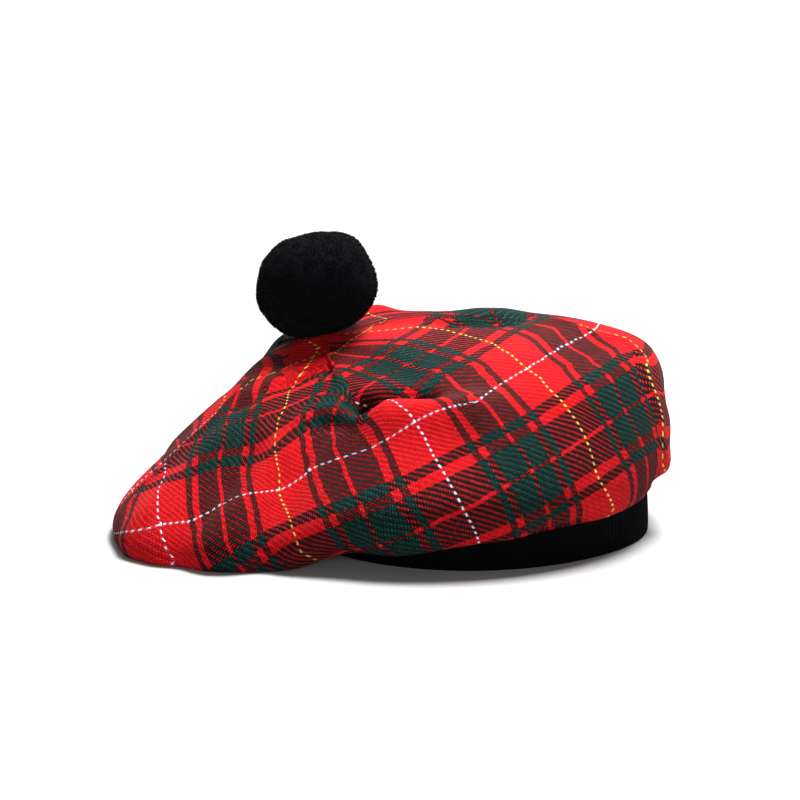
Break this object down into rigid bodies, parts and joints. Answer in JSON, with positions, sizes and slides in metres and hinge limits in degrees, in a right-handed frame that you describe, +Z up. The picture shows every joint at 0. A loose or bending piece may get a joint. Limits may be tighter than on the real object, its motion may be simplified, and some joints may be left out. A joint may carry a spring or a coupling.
{
  "type": "tam o shanter",
  "caption": "Floppy tartan tam o shanter with a knitted headband and a wool pompom, its left side flopped down to the table.",
  "frame": {"origin": "on the table, under the middle of the hat's box", "axes": "+Z up; +X to the right as seen from the front, from the flopped side to the headband's side; -Y to the front"},
  "size_m": [0.291, 0.26, 0.1505],
  "materials": {
    "tartan_cloth": "matt wool twill",
    "black_knit": "matt ribbed knitting",
    "black_wool": "matt cut wool"
  },
  "bodies": {
    "root": {"crown": "tartan_cloth", "headband": "black_knit", "pompom": "black_wool"}
  },
  "joints": []
}
